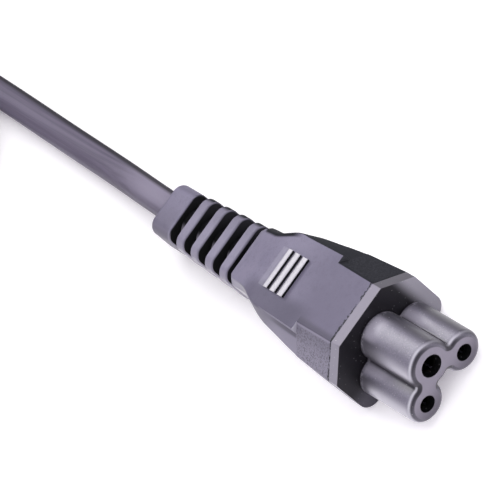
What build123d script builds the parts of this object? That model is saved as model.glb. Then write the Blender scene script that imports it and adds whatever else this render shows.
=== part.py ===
from build123d import *

import math
import os

# Cloverleaf (three-pole, 2.5 A) connector on a moulded mains lead. Millimetres, +Z up.
# The nose points to -Y and the cord leaves to +Y. The flat underside lies on z = 0, and
# the origin is under the middle of the connector, from the tip of the nose to the relief.

# Poles on the mating face
pole_spacing = 10.0
pole_height = 4.0
earth_rise = 4.36
line_hole_radius = 1.45
earth_hole_radius = 1.95
mouth_depth = 1.6

# Nose and flange of the hard insert
nose_length = 12.75
line_lobe_radius = 3.55
earth_lobe_radius = 4.15
valley_round = 0.5
nose_rim_round = 1.2
flange_thickness = 2.1
flange_half_width = 10.7
flange_top_half = 5.65
flange_shoulder = 9.7
top_height = 14.5
foot_round = 2.6
edge_round = 0.45
insert_tail_margin = 0.75

# Overmould, measured back from the flange
front_length = 8.9
panel_length = 9.0
waist_length = 8.0
neck_length = 4.05
shoulder_length = 1.1
front_top_half = 5.75
ledge_half_width = 10.05
ledge_shoulder = 9.9
plate_front_half = 7.3
plate_depth = 2.5
plate_edge = 0.15
panel_half_width = 8.4
panel_top_half = 7.0
panel_shoulder = 11.2
waist_half_width = 5.85
waist_top_half = 5.1
waist_top_height = 12.9
waist_shoulder = 11.2
neck_half_width = 5.75
neck_top_half = 4.9
neck_top_height = 11.4
neck_shoulder = 10.1
shoulder_drop = 0.6
panel_stations = 4
waist_stations = 4
neck_stations = 2

# Sawtooth grip on the top panel
grip_teeth = 3
grip_pitch = 1.95
grip_half_width = 3.7
grip_height = 0.6
grip_lead_in = 3.3
grip_setback = 5.4

# Slotted strain relief
relief_ribs = 4
rib_width = 2.1
groove_width = 2.15
collar_length = 5.5
relief_half_front = 5.75
relief_half_back = 4.75
relief_rise_front = 4.9
relief_rise_back = 4.3
relief_corner = 2.1
relief_core_radius = 3.2
rib_chamfer = 0.25
collar_round = 0.9

# Cord and its cores
cord_diameter = 5.2
cord_height = 5.0
sheath_setback = 4.0
core_diameter = 1.8
conductor_diameter = 1.2
core_gap = 0.02
core_straight = 4.0

# Turned socket contacts, crimped on the stripped cores
line_pin_radius = 1.2
earth_pin_radius = 1.65
contact_wall = 0.4
sleeve_length = 9.5
sleeve_slot_width = 0.35
sleeve_slot_length = 7.0
throat_length = 1.2
barrel_length = 5.0
barrel_floor = 1.0
contact_clearance = 0.05
crimp_clearance = 0.03
core_clearance = 0.2

# Free run of the cord behind the relief
cord_level_length = 2.0
cord_fall_length = 31.5
cord_drift = 1.2
cord_fall = 1.2
cord_settle_length = 12.0

# Hank of put-away cord: two turns side by side and half a turn on top
fold_radius = 15.6
hank_run = 102.0
hank_side = 2.7
hank_gap = 67.0
hank_slack = 0.15
tie_thickness = 0.5
tie_width = 6.0
tie_place = 72.0
tail_straight = 14.0
tail_parting = 25.0

# Plain three-pin mains plug, tucked inside the hank
plug_half_width = 12.0
plug_height = 24.0
plug_body_length = 24.0
plug_taper_length = 8.0
plug_neck_half = 6.0
plug_relief_length = 8.0
plug_relief_radius = 4.6
plug_relief_slots = 2
plug_slot_width = 1.4
plug_slot_depth = 1.2
plug_round = 3.0
plug_setback = 53.0
plug_cord_height = 11.0
carrier_margin = 2.0
carrier_depth = 9.0
carrier_round = 2.0
blade_spacing = 12.7
blade_height = 6.35
blade_thickness = 1.5
blade_length = 16.0
blade_chamfer = 0.5
pin_chamfer = 1.2
plug_earth_rise = 11.9
plug_earth_radius = 2.4
plug_earth_length = 18.4

# Places along Y
cord_radius = cord_diameter / 2
relief_length = relief_ribs * (rib_width + groove_width) + groove_width + collar_length
body_length = front_length + panel_length + waist_length + neck_length + shoulder_length
overall_length = nose_length + flange_thickness + body_length + relief_length
nose_tip = -overall_length / 2
flange_front = nose_tip + nose_length
flange_back = flange_front + flange_thickness
ledge = flange_back + front_length
panel_back = ledge + panel_length
waist_back = panel_back + waist_length
neck_back = waist_back + neck_length
body_back = neck_back + shoulder_length
relief_end = body_back + relief_length
sheath_front = body_back - sheath_setback
sleeve_front = nose_tip + mouth_depth
barrel_back = sleeve_front + sleeve_length + throat_length + barrel_length
core_front = barrel_back + core_clearance
insert_back = core_front + insert_tail_margin
core_lay = (core_diameter / 2 + core_gap) / math.sin(math.radians(60))

# Where each pole stands, and which core of the cord goes to it
poles = {
    "earth": (0.0, pole_height + earth_rise, earth_hole_radius, earth_pin_radius, 90.0),
    "line": (pole_spacing / 2, pole_height, line_hole_radius, line_pin_radius, 330.0),
    "neutral": (-pole_spacing / 2, pole_height, line_hole_radius, line_pin_radius, 210.0),
}


def across(y):
    """Plane square to Y at a station, with X to the right and Z up."""
    return Plane(origin=(0, y, 0), x_dir=(1, 0, 0), z_dir=(0, -1, 0))


def moulded_section(y, half_width, top_half, top, shoulder):
    """Flat-topped body section with chamfered shoulders and a rounded foot."""
    points = [(-top_half, top), (top_half, top), (half_width, shoulder)]
    points += [(half_width, 0), (-half_width, 0), (-half_width, shoulder)]
    face = make_face(Polyline(*points, close=True))
    face = fillet(face.vertices().filter_by(lambda v: v.Y > shoulder / 2), edge_round)
    face = fillet(face.vertices().group_by(Axis.Y)[0], foot_round)
    return across(y) * face


def rod(radius, y_front, y_back, x, z):
    """Round bar along Y between two stations."""
    disc = Pos(x, z) * Circle(radius)
    return extrude(across(y_front) * disc, amount=y_back - y_front, dir=(0, 1, 0))


def tube_along(points, radius):
    """Round bar along straight runs joined by the largest tangent arcs."""
    corners = [Vector(*p) for p in points]
    radii = []
    for before, here, after in zip(corners, corners[1:], corners[2:]):
        turn = math.radians((here - before).get_angle(after - here))
        shorter = min((here - before).length, (after - here).length)
        radii.append(0.45 * shorter / math.tan(turn / 2))
    path = FilletPolyline(*corners, radius=radii)
    disc = Plane(origin=path @ 0, z_dir=path % 0) * Circle(radius)
    tube = sweep(disc, path=path)
    share = tube.volume / (math.pi * radius**2 * path.length)
    print("arc radii", [round(r, 1) for r in radii], "length", round(path.length, 1), "volume share", round(share, 5))
    return tube


def blend(t, start, end, start_slope, end_slope):
    """Smooth curve from one value to another, with a given slope at each end."""
    rise = (start_slope * (1 - t) - end_slope * t) * t * (1 - t)
    return start + (end - start) * t * t * (3 - 2 * t) + rise


# Hard insert: cloverleaf nose and flange in one moulding, with three stepped cavities
lobes = Pos(0, pole_height + earth_rise) * Circle(earth_lobe_radius)
for side in (-1, 1):
    lobes += Pos(side * pole_spacing / 2, pole_height) * Circle(line_lobe_radius)
lobes = fillet(lobes.vertices(), valley_round)
nose = extrude(across(nose_tip) * lobes, amount=insert_back - nose_tip, dir=(0, 1, 0))
nose = fillet(nose.faces().sort_by(Axis.Y)[0].edges(), nose_rim_round)
flange_face = moulded_section(flange_front, flange_half_width, flange_top_half, top_height, flange_shoulder)
flange = extrude(flange_face, amount=flange_thickness, dir=(0, 1, 0))
insert = nose + flange
for x, z, hole, pin, _ in poles.values():
    insert -= rod(hole, nose_tip, sleeve_front, x, z)
    insert -= rod(pin + contact_wall + contact_clearance, sleeve_front, insert_back, x, z)


def socket_contact(x, z, pin):
    """Turned socket: slotted sleeve, closed throat and a crimp barrel behind."""
    barrel = conductor_diameter / 2 + crimp_clearance
    sleeve_back = sleeve_front + sleeve_length
    throat_back = sleeve_back + throat_length
    outline = [
        (pin, sleeve_front),
        (pin + contact_wall, sleeve_front),
        (pin + contact_wall, sleeve_back),
        (barrel + contact_wall, throat_back),
        (barrel + contact_wall, barrel_back),
        (barrel, barrel_back),
        (barrel, throat_back + barrel_floor),
        (0, throat_back + barrel_floor),
        (0, sleeve_back),
        (pin, sleeve_back),
    ]
    contact = revolve(make_face(Polyline(*outline, close=True)), axis=Axis.Y)
    slot = Box(sleeve_slot_width, sleeve_slot_length, 4 * (pin + contact_wall))
    contact -= Pos(0, sleeve_front + sleeve_slot_length / 2, 0) * slot
    return Pos(x, 0, z) * contact


# Contacts, stripped copper ends and insulated cores, one set for each pole
contacts = {}
conductors = {}
cores = {}
conductor_front = sleeve_front + sleeve_length + throat_length + barrel_floor
for name, (x, z, hole, pin, lay_angle) in poles.items():
    contacts[name] = socket_contact(x, z, pin)
    conductors[name] = rod(conductor_diameter / 2, conductor_front, core_front, x, z)
    lay_x = core_lay * math.cos(math.radians(lay_angle))
    lay_z = cord_height + core_lay * math.sin(math.radians(lay_angle))
    route = [
        (x, core_front, z),
        (x, core_front + core_straight, z),
        (lay_x, sheath_front - core_straight, lay_z),
        (lay_x, sheath_front, lay_z),
    ]
    cores[name] = tube_along(route, core_diameter / 2)

# Overmould, front: the flange outline carried back to the ledge in the shoulders
front_start = moulded_section(flange_back, flange_half_width, flange_top_half, top_height, flange_shoulder)
front_end = moulded_section(ledge, ledge_half_width, front_top_half, top_height, ledge_shoulder)
overmould = loft([front_start, front_end], ruled=True)

# Overmould, rear: the shoulders go on behind the ledge, then the waist comes down to the relief
at_ledge = (ledge_half_width, front_top_half, top_height, ledge_shoulder)
at_panel = (panel_half_width, panel_top_half, top_height, panel_shoulder)
at_waist = (waist_half_width, waist_top_half, waist_top_height, waist_shoulder)
at_neck = (neck_half_width, neck_top_half, neck_top_height, neck_shoulder)
panel_slopes = [(b - a) * waist_length / panel_length for a, b in zip(at_ledge, at_panel)]
neck_slopes = [(b - a) * waist_length / neck_length for a, b in zip(at_waist, at_neck)]
rear = []
for station in range(panel_stations):
    t = station / panel_stations
    sizes = [a + (b - a) * t for a, b in zip(at_ledge, at_panel)]
    rear.append(moulded_section(ledge + panel_length * t, *sizes))
for station in range(waist_stations):
    t = station / waist_stations
    sizes = [blend(t, *values) for values in zip(at_panel, at_waist, panel_slopes, neck_slopes)]
    rear.append(moulded_section(panel_back + waist_length * t, *sizes))
for station in range(neck_stations + 1):
    t = station / neck_stations
    sizes = [a + (b - a) * t for a, b in zip(at_waist, at_neck)]
    rear.append(moulded_section(waist_back + neck_length * t, *sizes))
overmould += loft(rear)
shoulder_end = moulded_section(
    body_back,
    neck_half_width - shoulder_drop,
    neck_top_half - shoulder_drop,
    neck_top_height - shoulder_drop,
    neck_shoulder - shoulder_drop,
)
overmould += loft([rear[-1], shoulder_end], ruled=True)

# Grip plate: fuller than the shoulders at the ledge, and level with them where the waist begins
plate_middle = top_height - plate_depth / 2
plate_front = Pos(0, plate_middle) * Rectangle(2 * plate_front_half, plate_depth)
plate_back = Pos(0, plate_middle) * Rectangle(2 * panel_top_half, plate_depth)
plate = loft([across(ledge) * plate_front, across(panel_back) * plate_back], ruled=True)
plate_sides = plate.faces().sort_by(Axis.Z)[-1].edges().filter_by(lambda e: abs(e.tangent_at(0.5).Y) > 0.9)
overmould += chamfer(plate_sides, plate_edge)

# Grip: teeth that rise towards the nose and drop square, so that a finger can pull on them
grip_front = ledge + grip_setback
grip_root = top_height - grip_height
crest = top_height + grip_height
grip_points = [(grip_front, grip_root), (grip_front, crest)]
for tooth in range(1, grip_teeth):
    step = grip_front + tooth * grip_pitch
    grip_points += [(step, top_height), (step, crest)]
grip_points.append((grip_front + (grip_teeth - 1) * grip_pitch + grip_lead_in, grip_root))
side_plane = Plane(origin=(-grip_half_width, 0, 0), x_dir=(0, 1, 0), z_dir=(1, 0, 0))
grip_face = side_plane * make_face(Polyline(*grip_points, close=True))
overmould += extrude(grip_face, amount=2 * grip_half_width, dir=(1, 0, 0))


def relief_ring(front, length):
    """Rounded rectangular ring of the tapering strain relief, sized at its middle."""
    t = (front + length / 2 - body_back) / relief_length
    half = relief_half_front + t * (relief_half_back - relief_half_front)
    rise = relief_rise_front + t * (relief_rise_back - relief_rise_front)
    face = Pos(0, cord_height) * RectangleRounded(2 * half, 2 * rise, relief_corner)
    return extrude(across(front) * face, amount=length, dir=(0, 1, 0))


# Strain relief: ribs on a thin core, and a collar where the cord leaves
overmould += rod(relief_core_radius, neck_back, relief_end - collar_length / 2, 0, cord_height)
for rib in range(relief_ribs):
    ring = relief_ring(body_back + groove_width + rib * (rib_width + groove_width), rib_width)
    ends = ring.faces().sort_by(Axis.Y)
    overmould += chamfer(ends[0].edges() + ends[-1].edges(), rib_chamfer)
collar = relief_ring(relief_end - collar_length, collar_length)
collar = chamfer(collar.faces().sort_by(Axis.Y)[0].edges(), rib_chamfer)
overmould += fillet(collar.faces().sort_by(Axis.Y)[-1].edges(), collar_round)

# Cord from the sheath inside the body to the hank, coming down on the table
hank_x = hank_side - fold_radius - cord_diameter
hank_y = relief_end + hank_gap
hank_end = hank_y + hank_run
hank_floor = tie_thickness
low_turn = hank_floor + cord_radius
level_end = relief_end + cord_level_length
cord_route = [
    (0, sheath_front, cord_height),
    (0, level_end, cord_height),
    (cord_drift, level_end + cord_fall_length, cord_height - cord_fall),
    (hank_side, hank_y - cord_settle_length, low_turn),
    (hank_side, hank_y, low_turn),
]
cord = tube_along(cord_route, cord_radius)

# The overmould is shot round the tail of the insert, the cores and the sheath
overmould -= extrude(across(flange_back) * lobes, amount=insert_back - flange_back, dir=(0, 1, 0))
for name, core in cores.items():
    overmould -= core
overmould -= cord

# Hank: two turns side by side, with the last half turn on the inner one and round the far end
inner = fold_radius - cord_radius - hank_slack
middle = fold_radius + cord_radius + hank_slack
outer = middle + cord_diameter
first_layer = hank_floor + cord_diameter + hank_slack
second_layer = first_layer + cord_diameter


def stadium(radius):
    """Racetrack outline of the hank, round the plug."""
    return Pos(hank_x, (hank_y + hank_end) / 2) * SlotCenterToCenter(hank_run, 2 * radius, rotation=90)


near_side = fold_radius + cord_radius - hank_slack
near_fold = Pos(hank_x + (near_side - outer) / 2, hank_y) * Circle((near_side + outer) / 2)
near_fold -= Pos(hank_x, hank_y) * Circle(inner)
nearer = Pos(hank_x, hank_y - 2 * outer) * Rectangle(4 * outer, 4 * outer)
turns = stadium(outer) - stadium(inner) - nearer
turns += near_fold & nearer
hank = extrude(Pos(0, 0, hank_floor) * turns, amount=first_layer - hank_floor)
upper_turn = extrude(Pos(0, 0, first_layer) * (stadium(middle) - stadium(inner)), amount=cord_diameter)
empty_side = Box(2 * outer, hank_run + 2 * outer, 2 * second_layer)
hank += upper_turn - Pos(hank_x - outer, hank_end - hank_run / 2 - outer, second_layer) * empty_side

# Tail of the cord, from the end of the upper turn across to the plug
tail_height = low_turn + cord_diameter
plug_back = hank_end - plug_setback
tail_route = [
    (hank_x - fold_radius, hank_end, tail_height),
    (hank_x - fold_radius, hank_end - tail_straight, tail_height),
    (hank_x, plug_back + tail_straight, plug_cord_height),
    (hank_x, plug_back, plug_cord_height),
]
whole_tail = tube_along(tail_route, cord_radius)
beyond = Pos(hank_x, hank_end, tail_height) * Box(4 * outer, 2 * tail_parting, 8 * cord_diameter)
tail = whole_tail - beyond
hank += whole_tail & beyond

# Two plain ties round the bundles of the hank
tie_y = hank_y + tie_place
right_bundle = [
    (hank_x + inner, hank_floor),
    (hank_x + outer, hank_floor),
    (hank_x + outer, first_layer),
    (hank_x + middle, second_layer),
    (hank_x + inner, second_layer),
]
left_bundle = [
    (hank_x - inner, hank_floor),
    (hank_x - inner, first_layer),
    (hank_x - outer, first_layer),
    (hank_x - outer, hank_floor),
]
ties = []
for bundle in (right_bundle, left_bundle):
    core_face = make_face(Polyline(*bundle, close=True))
    band = offset(core_face, amount=tie_thickness) - core_face
    ties.append(extrude(across(tie_y) * band, amount=tie_width, dir=(0, 1, 0)))

# Mains plug: pins in a hard carrier, with a moulded body and relief behind
plug_front = plug_back - plug_relief_length - plug_taper_length - plug_body_length


def plug_section(y, half, low, high):
    """Rounded rectangle of the plug's body at a station."""
    centre = (low + high) / 2
    return across(y) * (Pos(hank_x, centre) * RectangleRounded(2 * half, high - low, plug_round))


taper_front = plug_front + plug_body_length
taper_back = taper_front + plug_taper_length
plug_body = extrude(plug_section(plug_front, plug_half_width, 0, plug_height), amount=plug_body_length, dir=(0, 1, 0))
plug_body += loft(
    [
        plug_section(taper_front, plug_half_width, 0, plug_height),
        plug_section(taper_back, plug_neck_half, plug_cord_height - plug_neck_half, plug_cord_height + plug_neck_half),
    ],
    ruled=True,
)
plug_body += rod(plug_relief_radius, taper_back, plug_back, hank_x, plug_cord_height)
for slot in range(plug_relief_slots):
    slot_front = taper_back + (slot + 1) * plug_relief_length / (plug_relief_slots + 1) - plug_slot_width / 2
    slot_ring = rod(2 * plug_relief_radius, slot_front, slot_front + plug_slot_width, hank_x, plug_cord_height)
    plug_body -= slot_ring - rod(
        plug_relief_radius - plug_slot_depth, slot_front, slot_front + plug_slot_width, hank_x, plug_cord_height
    )
carrier_width = 2 * (plug_half_width - carrier_margin)
carrier_height = plug_height - 2 * carrier_margin
carrier_face = Pos(hank_x, plug_height / 2) * RectangleRounded(carrier_width, carrier_height, carrier_round)
carrier = extrude(across(plug_front) * carrier_face, amount=carrier_depth, dir=(0, 1, 0))
plug_body -= carrier

blades = {}
blade_centre_height = (plug_height - plug_earth_rise - plug_earth_radius + blade_height / 2) / 2
for name, side in (("line", -1), ("neutral", 1)):
    blade_x = hank_x + side * blade_spacing / 2
    blade = Pos(blade_x, plug_front - blade_length / 2 + carrier_depth / 2, blade_centre_height) * Box(
        blade_thickness, blade_length + carrier_depth, blade_height
    )
    tip = blade.faces().sort_by(Axis.Y)[0]
    blades[name] = chamfer(tip.edges().filter_by(Axis.Z), blade_chamfer)
earth_pin = rod(
    plug_earth_radius,
    plug_front - plug_earth_length,
    plug_front + carrier_depth,
    hank_x,
    blade_centre_height + plug_earth_rise,
)
earth_pin = chamfer(earth_pin.faces().sort_by(Axis.Y)[0].edges(), pin_chamfer)
for pin in (*blades.values(), earth_pin):
    carrier -= pin

nodes = {
    "contact_insert": insert,
    "overmould": overmould,
    "cord": cord,
    "cord_hank": hank,
    "cord_tail": tail,
    "cord_ties": Compound(ties),
    "plug_body": plug_body,
    "plug_carrier": carrier,
    "plug_line_blade": blades["line"],
    "plug_neutral_blade": blades["neutral"],
    "plug_earth_pin": earth_pin,
}
for name in poles:
    nodes[f"{name}_contact"] = contacts[name]
    nodes[f"{name}_conductor"] = conductors[name]
    nodes[f"{name}_core"] = cores[name]

os.makedirs("parts", exist_ok=True)
for name, shape in nodes.items():
    export_step(shape, f"parts/{name}.step")
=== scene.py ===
import math

import bpy
from mathutils import Matrix, Vector


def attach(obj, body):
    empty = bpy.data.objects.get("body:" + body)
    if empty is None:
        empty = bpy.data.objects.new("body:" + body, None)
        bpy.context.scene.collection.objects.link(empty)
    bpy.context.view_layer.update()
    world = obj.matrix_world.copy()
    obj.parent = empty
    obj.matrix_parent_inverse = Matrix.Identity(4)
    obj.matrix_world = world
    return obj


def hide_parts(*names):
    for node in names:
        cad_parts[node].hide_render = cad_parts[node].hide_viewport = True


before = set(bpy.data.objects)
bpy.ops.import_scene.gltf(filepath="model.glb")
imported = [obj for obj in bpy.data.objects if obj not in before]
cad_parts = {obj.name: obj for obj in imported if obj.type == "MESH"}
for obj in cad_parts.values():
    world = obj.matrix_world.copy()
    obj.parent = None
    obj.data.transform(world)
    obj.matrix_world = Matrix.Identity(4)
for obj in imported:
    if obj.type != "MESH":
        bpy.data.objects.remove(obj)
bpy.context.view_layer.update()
scene = bpy.context.scene
scene.view_settings.view_transform = "Standard"

# The view. A long lens from in front and above, a little to the left, and turned so that
# the connector runs from the upper left of the picture to the lower right.
azimuth, elevation, turn = (math.radians(a) for a in (-6.24, 44.43, -50.05))
aim = Vector((0.00001, 0.004615, 0.01633))
distance, sensor_width = 0.7, 36.0
focal_pixels, picture_pixels = 4326, 500
back = Vector((
    math.sin(azimuth) * math.cos(elevation),
    -math.cos(azimuth) * math.cos(elevation),
    math.sin(elevation),
))
level = Vector((0, 0, 1)).cross(back).normalized()
rise = back.cross(level)
right = level * math.cos(turn) + rise * math.sin(turn)
up = rise * math.cos(turn) - level * math.sin(turn)
lens_data = bpy.data.cameras.new("camera")
lens_data.sensor_width = sensor_width
lens_data.lens = focal_pixels / picture_pixels * sensor_width
lens_data.clip_start = 0.01
camera = bpy.data.objects.new("camera", lens_data)
scene.collection.objects.link(camera)
pointing = Matrix((right, up, back)).transposed().to_4x4()
camera.matrix_world = Matrix.Translation(aim + back * distance) @ pointing
scene.camera = camera

# The cord: three cores in a round extruded jacket of black vinyl. It leaves the collar straight,
# comes down and lies on the table. Out of sight it is folded into a tied hank of two turns, with
# the last half turn on top, and ends in the plug.
cord_radius = 0.0026
fold = 0.0156
wide_fold = fold + 2 * cord_radius
hank_x, hank_front, hank_back = -0.0181, 0.102275, 0.204275
low, high = 0.0031, 0.0083
on_table, on_top = [low] * 5, [high] * 5
ramp_run, ramp_foot = 0.02, low + 0.0016
ramp = [low + 0.003, low + 0.0042, low + 0.005, high, high]
plug_back, plug_height = 0.151275, 0.011
slant, lead, seat = 0.014, 0.004, 0.001
route = [
    (0.0003, 0.0305, 0.005),
    (0.0006, 0.041, 0.005),
    (0.0014, 0.0545, 0.0027),
    (0.00185, 0.0715, 0.00262),
    (0.0025, 0.090275, 0.00275),
]


def straight(x, y_from, y_to, z, parts=3):
    """Points along one run of the hank."""
    for step in range(parts + 1):
        route.append((hank_x + x, y_from + (y_to - y_from) * step / parts, z))


def bend(x, y, radius, first, heights):
    """Points round one end of the hank, half a turn in steps of 30 degrees."""
    for step, height in enumerate(heights, 1):
        angle = math.radians(first + 30 * step)
        route.append((hank_x + x + radius * math.cos(angle), y + radius * math.sin(angle), height))


straight(wide_fold, hank_front, hank_back, low)
bend(0, hank_back, wide_fold, 0, on_table)
straight(-wide_fold, hank_back, hank_front, low)
bend(-cord_radius, hank_front, fold + cord_radius, 180, on_table)
straight(fold, hank_front, hank_back, low)
bend(0, hank_back, fold, 0, on_table)
straight(-fold, hank_back, hank_front + ramp_run, low)
route.append((hank_x - fold, hank_front, ramp_foot))
bend(0, hank_front, fold, 180, ramp)
straight(fold, hank_front, hank_back, high)
bend(0, hank_back, fold, 0, on_top)
route += [
    (hank_x - fold, hank_back, high),
    (hank_x - fold, hank_back - slant, high),
    (hank_x, plug_back + slant, plug_height),
    (hank_x, plug_back + lead, plug_height),
    (hank_x, plug_back - seat, plug_height),
]
cord_curve = bpy.data.curves.new("cord_jacket", "CURVE")
cord_curve.dimensions = "3D"
cord_line = cord_curve.splines.new("NURBS")
cord_line.points.add(len(route) - 1)
for point, spot in zip(cord_line.points, route):
    point.co = (*spot, 1)
cord_line.order_u = 3
cord_line.use_endpoint_u = True
cord_line.resolution_u = 10
cord_curve.bevel_depth = cord_radius
cord_curve.bevel_resolution = 10
cord_curve.use_fill_caps = True
cord = bpy.data.objects.new("cord_jacket", cord_curve)
scene.collection.objects.link(cord)


class Tone:
    """One output of a shader node. Arithmetic on it adds Math nodes to its material."""

    def __init__(self, tree, socket=None):
        self.tree = tree
        self.socket = socket

    def node(self, kind, settings=None, inputs=None, out=0):
        """Adds a node, sets it up, then gives its sockets their values or links."""
        made = self.tree.nodes.new(kind)
        for key, value in (settings or {}).items():
            setattr(made, key, value)
        for key, value in (inputs or {}).items():
            if isinstance(value, Tone):
                self.tree.links.new(value.socket, made.inputs[key])
            else:
                made.inputs[key].default_value = value
        return Tone(self.tree, made.outputs[out])

    def maths(self, operation, a, b=0.0):
        return self.node("ShaderNodeMath", {"operation": operation}, {0: a, 1: b})

    def __add__(self, other):
        return self.maths("ADD", self, other)

    def __radd__(self, other):
        return self.maths("ADD", other, self)

    def __sub__(self, other):
        return self.maths("SUBTRACT", self, other)

    def __rsub__(self, other):
        return self.maths("SUBTRACT", other, self)

    def __mul__(self, other):
        return self.maths("MULTIPLY", self, other)

    def __rmul__(self, other):
        return self.maths("MULTIPLY", other, self)

    def __neg__(self):
        return self.maths("MULTIPLY", self, -1.0)

    def __abs__(self):
        return self.maths("ABSOLUTE", self)


def new_finish(name, **sockets):
    """A new material with one Principled shader, whose constant sockets are given."""
    material = bpy.data.materials.new(name)
    material.use_nodes = True
    shader = material.node_tree.nodes["Principled BSDF"]
    for key, value in sockets.items():
        shader.inputs[key.replace("_", " ")].default_value = value
    return material, Tone(material.node_tree), shader


def feed(material, shader, **sockets):
    """Links what changes over the surface to the shader's sockets."""
    for key, value in sockets.items():
        material.node_tree.links.new(value.socket, shader.inputs[key.replace("_", " ")])


def split(vector):
    """The x, y and z of a vector."""
    return [vector.node("ShaderNodeSeparateXYZ", inputs={0: vector}, out=axis) for axis in range(3)]


def spot_on(tone):
    """A piece's own coordinates in millimetres: the vector, then x, y and z."""
    at = tone.node("ShaderNodeTexCoord", out=3)
    mm = tone.node("ShaderNodeVectorMath", {"operation": "SCALE"}, {0: at, "Scale": 1000.0})
    return mm, *split(mm)


def facing(tone):
    """How far the surface faces to the right, to the back and up."""
    return split(tone.node("ShaderNodeNewGeometry", out=1))


def stretched(at, *scale):
    """Coordinates scaled along each axis, for marks that run one way."""
    return at.node("ShaderNodeMapping", inputs={"Vector": at, "Scale": scale})


def noise(at, scale, detail=3.0, rough=0.55):
    """Cloudy noise, so many to the millimetre."""
    inputs = {"Vector": at, "Scale": scale, "Detail": detail, "Roughness": rough}
    return at.node("ShaderNodeTexNoise", inputs=inputs)


def climb(value, start, end):
    """0 before start, 1 after end, and a smooth change between them."""
    smooth = {"interpolation_type": "SMOOTHSTEP"}
    return value.node("ShaderNodeMapRange", smooth, {0: value, 1: start, 2: end})


def fade(value, start, end):
    """1 before start, 0 after end, and a smooth change between them."""
    return 1 - climb(value, start, end)


def mixed(factor, first, second):
    """From the first colour to the second as the factor goes from 0 to 1."""
    sockets = {0: factor, 6: first, 7: second}
    return factor.node("ShaderNodeMix", {"data_type": "RGBA"}, sockets, out=2)


def painted(shade, *layers):
    """Colours laid over a first shade, each where its own mask says, the first one lowest."""
    for mask, colour in layers:
        shade = mixed(mask, shade, colour)
    return shade


def bumped(height, strength, depth):
    """A fine unevenness of the skin, its depth in metres."""
    inputs = {"Strength": strength, "Distance": depth, "Height": height}
    return height.node("ShaderNodeBump", inputs=inputs)


jacket_dark, jacket_pale = (0.1, 0.087, 0.126, 1), (0.145, 0.127, 0.181, 1)
streak_pale, jacket_collar_painted_highlight = (0.2, 0.182, 0.238, 1), (0.245, 0.22, 0.295, 1)
jacket_right_painted_shade = (0.02, 0.019, 0.023, 1)
near_from, near_to = 42.0, 58.0
jacket, tone, shader = new_finish("cord_jacket_vinyl", Specular_IOR_Level=0.15)
at, _, y, _ = spot_on(tone)
to_right, _, _ = facing(tone)
drawn = stretched(at, 1.1, 0.016, 1.1)
streak = noise(drawn, scale=1.0, rough=0.6)
fine_streak = noise(drawn, scale=5.0, detail=2.0)
skin = noise(at, scale=3.0)
# Painted shade on the side of the jacket that faces right.
away = climb(to_right, 0.52, 0.82)
# A painted highlight on the jacket near the collar.
near_collar = fade(y, near_from, near_to) * fade(-to_right, 0.35, 0.8)
shade = painted(
    mixed(climb(streak, 0.32, 0.66), jacket_dark, jacket_pale),
    (0.15 * climb(fine_streak, 0.5, 0.7), streak_pale),
    (0.9 * near_collar, jacket_collar_painted_highlight),
    (0.9 * away, jacket_right_painted_shade),
)
rough = 0.36 + 0.2 * skin + 0.4 * away
bump = bumped(streak + 0.4 * skin, strength=0.25, depth=0.00006)
feed(jacket, shader, Base_Color=shade, Roughness=rough, Normal=bump)
cord_curve.materials.append(jacket)
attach(cord, "root")
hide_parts("cord", "cord_hank", "cord_tail")

# The hard insert: one moulding of black engineering plastic with the cloverleaf nose, the flange
# and three stepped cavities. Satin skin, matt end faces, painted shade on the rims, in the valleys
# between the lobes and on the sides that face right, painted light and highlights, and a little dust.
pole_x, pole_z, earth_z = 5.0, 4.0, 8.36
earth_lobe, pole_lobe = 4.15, 3.55
earth_hole, pole_hole = 1.95, 1.45
flange_face, nose_tip = -22.525, -35.275


def dress(material, *node_names):
    """Gives CAD nodes their finish."""
    for name in node_names:
        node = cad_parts[name]
        node.data.materials.clear()
        node.data.materials.append(material)


def reach(x, z, middle_x, middle_z):
    """Distance from an axis that runs along the connector."""
    across = x - middle_x
    over = z - middle_z
    return x.maths("SQRT", across * across + over * over)


def band(value, start, full, last, end):
    """0 outside start and end, 1 between full and last, with smooth changes."""
    return climb(value, start, full) * fade(value, last, end)


def dust(at, scale, share):
    """White motes in a share of the cells, larger or smaller as the surface cuts them."""
    cells = {"Vector": at, "Scale": scale, "Randomness": 1.0}
    away, mark = (at.node("ShaderNodeTexVoronoi", inputs=cells, out=out) for out in (0, 1))
    lot = at.node("ShaderNodeSeparateColor", inputs={0: mark})
    return climb(lot, 1 - share, 1 - share + 0.01) * fade(away, 0.06, 0.2)


insert_dark, insert_pale = (0.175, 0.162, 0.215, 1), (0.2, 0.186, 0.245, 1)
scuff_dark, smear_pale = (0.12, 0.11, 0.15, 1), (0.32, 0.3, 0.36, 1)
grain_pale, grain_dark = (0.3, 0.28, 0.345, 1), (0.09, 0.083, 0.11, 1)
insert_right_painted_shade, insert_left_painted_light = (0.05, 0.047, 0.06, 1), (0.44, 0.415, 0.5, 1)
root_painted_shade, root_shadow_dark = (0.04, 0.037, 0.05, 1), (0.05, 0.046, 0.06, 1)
gleam_painted_highlight, by_earth_painted_shadow = (0.42, 0.39, 0.48, 1), (0.045, 0.04, 0.056, 1)
valley_painted_shade, under_painted_shade = (0.016, 0.014, 0.02, 1), (0.04, 0.036, 0.048, 1)
end_low, end_high = (0.12, 0.108, 0.138, 1), (0.247, 0.224, 0.282, 1)
rim_painted_highlight, rim_painted_shade = (0.52, 0.5, 0.58, 1), (0.022, 0.02, 0.027, 1)
plate_painted_shadow, plate_right_painted_light = (0.006, 0.0055, 0.0075, 1), (0.295, 0.28, 0.335, 1)
plate_corner_painted_light = (0.075, 0.07, 0.09, 1)
edge_top_painted_light, edge_right_painted_shade = (0.27, 0.25, 0.305, 1), (0.06, 0.057, 0.07, 1)
edge_left_painted_light = (0.34, 0.32, 0.39, 1)
hole_painted_shade, dust_white = (0.004, 0.004, 0.005, 1), (0.7, 0.68, 0.73, 1)
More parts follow.
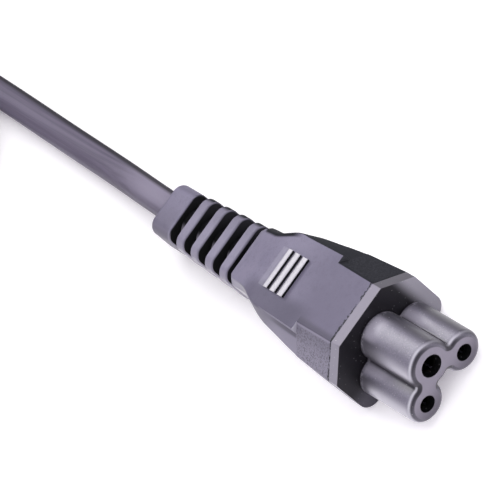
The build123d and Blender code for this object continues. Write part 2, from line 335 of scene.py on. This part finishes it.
insert_plastic, tone, shader = new_finish(
    "insert_plastic", Specular_IOR_Level=0.3, Specular_Tint=(0.92, 0.87, 1.0, 1),
    Coat_Roughness=0.36, Coat_IOR=1.55,
)
at, x, y, z = spot_on(tone)
to_right, _, to_top = facing(tone)
from_tip = y - nose_tip
from_flange = y - flange_face
earth_reach = reach(x, z, 0.0, earth_z)
line_reach = reach(x, z, pole_x, pole_z)
neutral_reach = reach(x, z, -pole_x, pole_z)
cloud = noise(at, scale=0.22, detail=4.0)
grain = noise(at, scale=4.5, detail=2.0)
scuff = noise(at, scale=1.4, detail=5.0, rough=0.7)
turned_right = climb(to_right, 0.3, 0.75)

# Painted shade at the roots of the lobes, and a painted shadow on their sides that face left.
root = climb(from_flange, -1.1, -0.1)
shadow_start = -3.0 - 5.5 * climb(z, 5.0, 8.0)
root_shadow = climb(from_flange, shadow_start, -0.8) * climb(-to_right, 0.3, 0.6)

# Painted shade in the valleys where two lobes are near and under the earth lobe on the left, a
# painted shadow beside the earth lobe, and a painted highlight along the lobes towards their roots.
to_earth = earth_reach - earth_lobe
to_line = line_reach - pole_lobe
to_neutral = neutral_reach - pole_lobe
nearer = tone.maths("MINIMUM", to_earth, to_line)
farther = tone.maths("MAXIMUM", to_earth, to_line)
next_lobe = tone.maths("MAXIMUM", nearer, tone.maths("MINIMUM", farther, to_neutral))
pole_gleam = climb(from_flange, -8.475, -3.475) * fade(z, 7.6, 7.8) * fade(abs(x), 5.6, 6.6)
earth_gleam = climb(from_flange, -4.475, -1.675) * climb(z, 11.6, 12.2)
gleam = (1 - root) * tone.maths("MAXIMUM", pole_gleam, earth_gleam)
near_earth = fade(next_lobe, 0.7, 1.9) * climb(-x, 2.5, 3.5)
by_earth = near_earth * (1 - 0.85 * climb(from_tip, 2.275, 7.275))
under_left = fade(to_earth, 0.1, 0.4) * climb(-x, 2.0, 3.0) * fade(z, 8.6, 10.4)

# The end faces, darker towards the bottom, and their rims, painted as shade with a painted
# highlight line behind.
end_face = fade(from_tip, 0.012, 0.06)
rim_side = (1 - 0.7 * climb(to_right, 0.0, 0.6)) * (0.6 + 0.4 * climb(to_top, 0.0, 0.5))
rim_line = band(from_tip, 0.34, 0.54, 0.6, 0.95) * climb(to_top, 0.05, 0.6)
rim = band(from_tip, 0.012, 0.06, 0.24, 0.5)

# The flange: its face, with the lobes' painted shadow and painted light on the right, and its edge,
# painted lighter on top and to the left and darker to the right.
plate = band(from_flange, -0.3, -0.02, 0.04, 0.12)
plate_shade = painted(
    mixed(climb(x, 6.9, 9.5), plate_painted_shadow, plate_right_painted_light),
    (fade(z, 2.0, 6.0) * fade(x, -8.0, -3.0), plate_corner_painted_light),
)
edge = climb(from_flange, 0.04, 0.12)
edge_shade = painted(
    mixed(climb(to_right, 0.3, 0.8), edge_top_painted_light, edge_right_painted_shade),
    (climb(-to_right, 0.3, 0.9), edge_left_painted_light),
)

# The holes, painted dark as shade, and the dust.
to_pole_hole = tone.maths("MINIMUM", line_reach, neutral_reach) - pole_hole
to_hole = tone.maths("MINIMUM", earth_reach - earth_hole, to_pole_hole)
settled = (0.6 + 0.4 * climb(from_flange, -4.0, -1.0)) * (1 - end_face) * (1 - 0.65 * plate)
motes = settled * dust(at, scale=1.8, share=0.35)
smear = band(from_flange, -0.9, -0.5, -0.3, -0.1) * climb(scuff, 0.42, 0.58)

shade = painted(
    mixed(climb(cloud, 0.3, 0.7), insert_dark, insert_pale),
    (0.35 * climb(scuff, 0.5, 0.75), scuff_dark),
    (0.45 * climb(grain, 0.52, 0.7), grain_pale),
    (0.3 * climb(-grain, -0.46, -0.32), grain_dark),
    # painted shade on the sides that face right, painted light on those that face left
    (0.95 * turned_right, insert_right_painted_shade),
    (0.9 * climb(-to_right, 0.5, 0.9), insert_left_painted_light),
    # painted shade and shadow at the roots, a painted highlight along the lobes, painted shade in the
    # valleys
    (0.6 * root, root_painted_shade),
    (0.85 * root_shadow, root_shadow_dark),
    (0.5 * gleam, gleam_painted_highlight),
    (0.65 * by_earth, by_earth_painted_shadow),
    (0.9 * fade(next_lobe, 0.1, 0.9), valley_painted_shade),
    (0.8 * under_left, under_painted_shade),
    (end_face, mixed(climb(z, 1.0, 6.5), end_low, end_high)),
    # a painted highlight line and painted shade on the rims
    (0.8 * rim_line * rim_side, rim_painted_highlight),
    (0.95 * rim * rim_side, rim_painted_shade),
    # painted shadow and light on the flange's face and edge, painted shade in the holes
    (plate, plate_shade),
    (0.9 * edge, edge_shade),
    (fade(to_hole, 0.02, 0.06), hole_painted_shade),
    (0.6 * smear, smear_pale),
    (0.65 * motes, dust_white),
)
polish = fade(from_flange, -0.8, -0.2) * (1 - end_face)
polish = polish * (1 - 0.75 * turned_right) * (1 - 0.7 * under_left) * (1 - 0.85 * rim)
rough = 0.3 + 0.12 * cloud + 0.2 * end_face
bump = bumped(grain + 2.0 * motes, strength=0.3, depth=0.00003)
feed(insert_plastic, shader, Base_Color=shade, Roughness=rough, Coat_Weight=polish, Normal=bump)
dress(insert_plastic, "contact_insert")

# The contacts: turned brass sockets with slotted sleeves at the front and crimp barrels behind,
# pushed into the insert's cavities. The sleeves are tarnished, and painted near black as the shade
# inside the holes.
brass_dark, brass_pale = (0.55, 0.39, 0.15, 1), (0.70, 0.53, 0.24, 1)
tarnish_and_shade_dark = (0.007, 0.006, 0.004, 1)
sleeve_dark_to, sleeve_bright_from = -31.0, -26.0
contact_brass, tone, shader = new_finish("contact_brass", Metallic=1.0)
at, _, y, _ = spot_on(tone)
turned = noise(stretched(at, 0.3, 9.0, 0.3), scale=1.0, detail=2.0)
tarnish_and_shade = fade(y, sleeve_dark_to, sleeve_bright_from)
shade = painted(mixed(turned, brass_dark, brass_pale), (tarnish_and_shade, tarnish_and_shade_dark))
feed(contact_brass, shader, Base_Color=shade, Roughness=0.25 + 0.25 * turned)
dress(contact_brass, "earth_contact", "line_contact", "neutral_contact")

# The stripped ends of the cores: bare copper strands, twisted and crimped into the barrels.
copper_dark, copper_pale = (0.50, 0.19, 0.08, 1), (0.80, 0.38, 0.22, 1)


def waves(at, direction, scale, distortion):
    """Even bands across one direction."""
    inputs = {"Vector": at, "Scale": scale, "Distortion": distortion}
    return at.node("ShaderNodeTexWave", {"bands_direction": direction}, inputs)


copper, tone, shader = new_finish("bare_copper", Metallic=1.0)
at, *_ = spot_on(tone)
strand = waves(at, "DIAGONAL", scale=1.6, distortion=0.5)
shade = mixed(strand, copper_dark, copper_pale)
bump = bumped(strand, strength=0.6, depth=0.0001)
feed(copper, shader, Base_Color=shade, Roughness=0.3 + 0.2 * strand, Normal=bump)
dress(copper, "earth_conductor", "line_conductor", "neutral_conductor")

# The insulated cores: brown line, blue neutral, and green and yellow earth, extruded vinyl,
# running from the sheath to the crimps inside the moulding.
for core, first, second in (
    ("line_core", (0.10, 0.038, 0.015, 1), (0.13, 0.052, 0.022, 1)),
    ("neutral_core", (0.02, 0.09, 0.36, 1), (0.03, 0.12, 0.44, 1)),
    ("earth_core", (0.08, 0.30, 0.05, 1), (0.75, 0.60, 0.03, 1)),
):
    vinyl, tone, shader = new_finish(core + "_vinyl", Specular_IOR_Level=0.5)
    at, x, _, _ = spot_on(tone)
    along = stretched(at, 1.0, 0.05, 1.0)
    lane = climb(x, -0.15, 0.15) if core == "earth_core" else noise(along, scale=1.2)
    drag = noise(along, scale=6.0)
    feed(vinyl, shader, Base_Color=mixed(lane, first, second), Roughness=0.35 + 0.2 * drag)
    dress(vinyl, core)

# The grip body and strain relief: one shot of soft black vinyl round the insert, the cores and the
# sheath. An eroded tool leaves a fine grain round the front. The sides that face right are painted
# dark as shade and those that face left lighter as painted light, the slots and the steps of the grip
# are painted dark as shade, its ramps are painted bright as a highlight, and a ragged flash runs
# along the seam at the front.
relief_front, relief_back, collar_length = 10.625, 35.275, 5.4
collar_front = relief_back - collar_length
rib_half_width, rib_half_height, rib_round, rib_taper_z = 5.75, 4.9, 2.1, 0.6
ledge, panel_length, seam, top_z = -11.525, 9.0, -20.22, 14.5
plate_front_half, plate_back_half = 7.3, 7.0
waist_front, waist_back, waist_narrowing = ledge + panel_length, 5.475, 1.9
grip_front, grip_pitch, grip_half = -6.125, 1.95, 3.7
cord_axis_z, shoulder_z = 5.0, 12.0
wander_width = 1.3
vinyl_dark, vinyl_pale = (0.19, 0.173, 0.25, 1), (0.23, 0.211, 0.296, 1)
vinyl_grain, vinyl_mottle = (0.13, 0.118, 0.17, 1), (0.12, 0.108, 0.16, 1)


def soft_vinyl(name):
    """The soft black moulding's finish without its wear: clouded, with a faint grain."""
    material, tone, shader = new_finish(name, Specular_IOR_Level=0.2)
    at, x, y, z = spot_on(tone)
    cloud = noise(at, scale=0.16, detail=5.0)
    grain = noise(at, scale=3.2, rough=0.7)
    mottle = noise(at, scale=0.8, detail=4.0, rough=0.65)
    shade = painted(
        mixed(climb(cloud, 0.3, 0.7), vinyl_dark, vinyl_pale),
        (0.3 * climb(grain, 0.52, 0.72), vinyl_grain),
        (0.3 * climb(mottle, 0.48, 0.75), vinyl_mottle),
    )
    return material, tone, shader, (at, x, y, z), cloud, grain, shade


recess_painted_shade, front_dark = (0.003, 0.003, 0.004, 1), (0.115, 0.103, 0.158, 1)
eroded_dark, sand_dark = (0.10, 0.093, 0.12, 1), (0.1, 0.093, 0.122, 1)
rib_pale, rib_right_painted_shade = (0.34, 0.315, 0.405, 1), (0.06, 0.055, 0.075, 1)
collar_left_painted_shade, panel_dark = (0.08, 0.072, 0.105, 1), (0.06, 0.054, 0.085, 1)
left_low_painted_light, left_high_painted_light = (0.37, 0.34, 0.41, 1), (0.31, 0.288, 0.37, 1)
left_top_darker, shade_dark = (0.08, 0.073, 0.105, 1), (0.07, 0.063, 0.09, 1)
away_painted_shade, away_shaded_sand = (0.016, 0.0165, 0.022, 1), (0.026, 0.026, 0.034, 1)
foot_painted_shade, flash_dark = (0.075, 0.068, 0.095, 1), (0.015, 0.015, 0.018, 1)
lead_painted_highlight, ramp_painted_highlight = (0.6, 0.58, 0.64, 1), (0.74, 0.715, 0.77, 1)
riser_left_painted_light, riser_right_painted_shade = (0.42, 0.40, 0.48, 1), (0.05, 0.05, 0.06, 1)
body_vinyl, tone, shader, (at, x, y, z), cloud, grain, shade = soft_vinyl("body_vinyl")
to_right, to_back, _ = facing(tone)
to_left = climb(-to_right, 0.2, 0.7)
from_ledge = y - ledge
from_grip = y - grip_front
from_waist = y - waist_front
from_relief = y - relief_front
from_collar = y - collar_front
sand = noise(at, scale=3.4, rough=0.7)
eroded = fade(from_ledge, -0.375, 0.225) * fade(z, top_z - 0.5, top_z - 0.2)
on_panel = climb(z, shoulder_z, shoulder_z + 0.5) * climb(from_ledge, -4.0, 2.0)
on_panel = on_panel * fade(from_waist, 3.525, 8.525)
on_relief = climb(from_relief, -2.0, 0.0) * fade(from_collar, -1.1, 0.4)
collar = climb(from_collar, 0.0, 0.6)

# The relief: below the line of the ribs the slots are painted dark as shade.
taper = from_relief * (1 / (relief_back - relief_front))
past_x = abs(x) - (rib_half_width - rib_round) + taper
past_z = abs(z - cord_axis_z) - (rib_half_height - rib_round) + rib_taper_z * taper
over_x = tone.maths("MAXIMUM", past_x, 0.0)
over_z = tone.maths("MAXIMUM", past_z, 0.0)
sunk = rib_round - tone.maths("SQRT", over_x * over_x + over_z * over_z)
slot = climb(from_relief, 0.0, 0.01) * fade(from_collar, 0.0, 0.1) * climb(sunk, 0.05, 0.35)

# The sides: painted shade to the right, and at the rear also to the left.
turned_away = (1 - on_relief) * climb(to_right, 0.25, 0.6) + on_relief * climb(to_right, 0.45, 0.85)
turned_away = turned_away * (1 - 0.75 * climb(from_collar, -0.1, 0.4))
waist_narrowed = waist_narrowing * climb(y, waist_front, waist_back)
waist_edge = x - plate_back_half + waist_narrowed
waist_side = climb(waist_edge, -0.9, -0.4) * band(from_waist, 0.525, 3.525, 11.025, 12.025)
turned_away = tone.maths("MAXIMUM", turned_away, waist_side)
away_shade = mixed(eroded * climb(sand, 0.4, 0.65), away_painted_shade, away_shaded_sand)
rear_left = band(from_waist, -4.475, 1.525, 6.525, 10.525) + collar
flank = climb(-to_right, 0.8, 0.97) * climb(from_waist, 0.525, 6.525) * fade(from_collar, -2.6, 0.4)

# The grip plate, the ledge at its front, and the edge before the ledge, with painted light and shade.
plate_slope = (plate_front_half - plate_back_half) / panel_length
plate_gap = -x - plate_front_half + plate_slope * from_ledge
beside_plate = band(plate_gap, -0.05, 0.05, 0.35, 0.75) * climb(z, shoulder_z, shoulder_z + 0.3)
plate_foot = beside_plate * band(from_ledge, -0.02, 0.05, 4.0, panel_length)
front_edge = climb(-x, 4.2, 5.3) * climb(z, top_z - 0.1, top_z - 0.02) * fade(from_ledge, -0.1, 0.0)
riser = fade(to_back, -0.8, -0.6) * fade(abs(from_ledge), 0.1, 0.2) * fade(abs(x), 8.0, 8.3)
riser_shade = mixed(climb(x, -1.0, 1.0), riser_left_painted_light, riser_right_painted_shade)

# The grip: ramps painted bright as a highlight, with steps painted dark as shade between them.
on_grip = fade(abs(x), grip_half - 0.05, grip_half + 0.05)
teeth = on_grip * climb(z, top_z + 0.02, top_z + 0.1)
ramps = teeth * band(from_grip, -0.075, 0.025, 4.125, 7.125)
lead_in = on_grip * climb(z, top_z - 0.5, top_z - 0.4) * band(from_grip, 3.925, 4.025, 6.825, 7.225)
tooth_phase = tone.maths("FRACT", from_grip * (1 / grip_pitch))
crest = 0.55 + 0.45 * climb(tooth_phase, 0.02, 0.3)
highlight_unevenness = noise(at, scale=2.0)
tooth_root = teeth * climb(tooth_phase, 0.84, 0.96) * fade(from_grip, 3.725, 3.925)
steps = tone.maths("MAXIMUM", teeth * fade(to_back, -0.6, -0.3), 0.8 * tooth_root)

# The flash wanders along the seam.
wander = wander_width * (noise(at, scale=1.5, detail=4.0, rough=0.65) - 0.5)
flash = fade(abs(y - seam + wander), 0.1, 0.22) * climb(noise(at, scale=0.8), 0.38, 0.48)

shade = painted(
    shade,
    # painted shade in the slots
    (slot, recess_painted_shade),
    (0.6 * fade(from_ledge, -1.475, 12.525), front_dark),
    (0.5 * eroded * climb(grain, 0.4, 0.6), eroded_dark),
    (0.22 * on_relief * (1 - slot), rib_pale),
    # painted shade: the ribs darker to the right, the collar to the left
    (0.25 * on_relief * climb(x, -1.0, 5.0), rib_right_painted_shade),
    (0.48 * collar * climb(-x, -3.0, 4.0), collar_left_painted_shade),
    (0.55 * on_panel * climb(-x, 2.0, 4.5), panel_dark),
    # painted light on the sides that face left, more towards the bottom
    (0.75 * to_left, mixed(climb(z, 4.0, 10.0), left_low_painted_light, left_high_painted_light)),
    # the front's left side darker towards the top
    (0.35 * eroded * to_left * climb(z, 11.0, 14.0), left_top_darker),
    # painted shade on the left side at the rear
    (0.5 * rear_left * to_left, shade_dark),
    (0.75 * eroded * climb(sand, 0.47, 0.62), sand_dark),
    # painted shade on the sides that face right, with sand grains in it at the front
    (turned_away, away_shade),
    # painted shade at the foot of the plate and on the edge before the ledge
    (0.6 * plate_foot, foot_painted_shade),
    (0.65 * front_edge, shade_dark),
    # painted highlights on the lead-in and the ramps, painted shade on the steps
    (0.12 * lead_in, lead_painted_highlight),
    (ramps * crest * (0.6 + 0.6 * highlight_unevenness), ramp_painted_highlight),
    (steps, recess_painted_shade),
    # painted light and shade on the riser
    (riser, riser_shade),
    (0.9 * flash, flash_dark),
)
rough = 0.42 + 0.12 * cloud - 0.14 * ramps - 0.3 * flank + 0.45 * turned_away + 0.55 * slot
bump = bumped((0.35 + 0.65 * eroded) * grain, strength=0.35, depth=0.00006)
feed(body_vinyl, shader, Base_Color=shade, Roughness=rough, Normal=bump)
dress(body_vinyl, "overmould")

# The ties: two plain black nylon bands round the bundles of the hank, finely ribbed for grip.
nylon_dark, nylon_pale = (0.02, 0.02, 0.022, 1), (0.045, 0.044, 0.05, 1)
tie_nylon, tone, shader = new_finish("tie_nylon", Specular_IOR_Level=0.5)
at, *_ = spot_on(tone)
rib = waves(at, "Y", scale=0.8, distortion=0.0)
shade = mixed(rib, nylon_dark, nylon_pale)
bump = bumped(rib, strength=0.6, depth=0.0001)
feed(tie_nylon, shader, Base_Color=shade, Roughness=0.4 + 0.1 * noise(at, scale=2.0), Normal=bump)
dress(tie_nylon, "cord_ties")

# The plug's body: soft black vinyl moulded round the pin carrier and the end of the cord.
plug_vinyl, tone, shader, _, cloud, grain, shade = soft_vinyl("plug_vinyl")
bump = bumped(grain, strength=0.3, depth=0.00008)
feed(plug_vinyl, shader, Base_Color=shade, Roughness=0.42 + 0.15 * cloud, Normal=bump)
dress(plug_vinyl, "plug_body")

# The plug's pin carrier: hard black plastic, flush with the face of the plug.
carrier_dark, carrier_pale = (0.14, 0.13, 0.165, 1), (0.19, 0.18, 0.22, 1)
carrier_plastic, tone, shader = new_finish("carrier_plastic", Specular_IOR_Level=0.5)
at, *_ = spot_on(tone)
cloud = noise(at, scale=0.3, detail=4.0)
shade = mixed(cloud, carrier_dark, carrier_pale)
bump = bumped(noise(at, scale=5.0, detail=2.0), strength=0.2, depth=0.00004)
feed(carrier_plastic, shader, Base_Color=shade, Roughness=0.3 + 0.2 * cloud, Normal=bump)
dress(carrier_plastic, "plug_carrier")

# The plug's pins: two stamped blades and a turned earth pin of plated brass, brushed lengthwise.
plated_dark, plated_pale = (0.58, 0.50, 0.34, 1), (0.74, 0.67, 0.50, 1)
pin_brass, tone, shader = new_finish("pin_brass", Metallic=1.0)
at, *_ = spot_on(tone)
brushed = noise(stretched(at, 6.0, 0.15, 6.0), scale=1.0)
shade = mixed(brushed, plated_dark, plated_pale)
bump = bumped(brushed, strength=0.15, depth=0.00005)
feed(pin_brass, shader, Base_Color=shade, Roughness=0.2 + 0.25 * brushed, Normal=bump)
dress(pin_brass, "plug_line_blade", "plug_neutral_blade", "plug_earth_pin")

# The table: smooth white board. A glow is added where the eye sees it, more towards the front, so
# the ground is white and the shadow stays.
table_size, table_drop = 4, 0.0002
board_white, no_glow = (0.95, 0.95, 0.95, 1), (0, 0, 0, 1)
front_glow, back_glow = (0.33, 0.31, 0.345, 1), (0.14, 0.122, 0.148, 1)
glow_front, glow_back = -15.0, 25.0
bpy.ops.object.select_all(action="DESELECT")
bpy.ops.mesh.primitive_plane_add(size=table_size, location=(0, 0, -table_drop))
floor = bpy.context.object
floor.name = "table"
board, tone, shader = new_finish(
    "table_white", Base_Color=board_white, Roughness=0.9, Specular_IOR_Level=0.1,
    Emission_Strength=1.0,
)


def seen(tone):
    """1 for rays that show a surface to the eye, straight or in a reflection, and 0 for its light."""
    rays = (tone.node("ShaderNodeLightPath", out=ray) for ray in (0, 3, 6))
    camera_ray, glossy_ray, through_ray = rays
    return tone.maths("MINIMUM", camera_ray + glossy_ray + through_ray, 1.0)


_, _, y, _ = spot_on(tone)
glow = mixed(climb(y, glow_front, glow_back), front_glow, back_glow)
feed(board, shader, Emission_Color=mixed(seen(tone), no_glow, glow))
floor.data.materials.append(board)

# The light: a soft window overhead, a little to the right, a fill at the front right, a long strip
# behind, a weak card at the front left, and a pale room.
room_tint, room_strength = (0.97, 0.94, 1, 1), 0.22
sky = bpy.data.worlds.new("room")
scene.world = sky
sky.use_nodes = True
room = sky.node_tree.nodes["Background"]
room.inputs["Color"].default_value = room_tint
room.inputs["Strength"].default_value = room_strength


def lamp(name, spot, width, height, power):
    """A soft rectangular light that looks at the connector."""
    data = bpy.data.lights.new(name, "AREA")
    data.shape = "RECTANGLE"
    data.size = width
    data.size_y = height
    data.energy = power
    made = bpy.data.objects.new(name, data)
    scene.collection.objects.link(made)
    made.location = spot
    made.rotation_euler = (aim - Vector(spot)).to_track_quat("-Z", "Y").to_euler()


lamp("window", spot=(0.2, 0.1, 1.05), width=1.1, height=1.1, power=8.0)
lamp("fill", spot=(0.5, -0.6, 0.33), width=0.5, height=0.4, power=2.6)
lamp("strip", spot=(0.28, 0.82, 0.8), width=1.3, height=0.25, power=6.25)
lamp("card", spot=(-0.7, -0.45, 0.4), width=0.8, height=0.6, power=3.4)
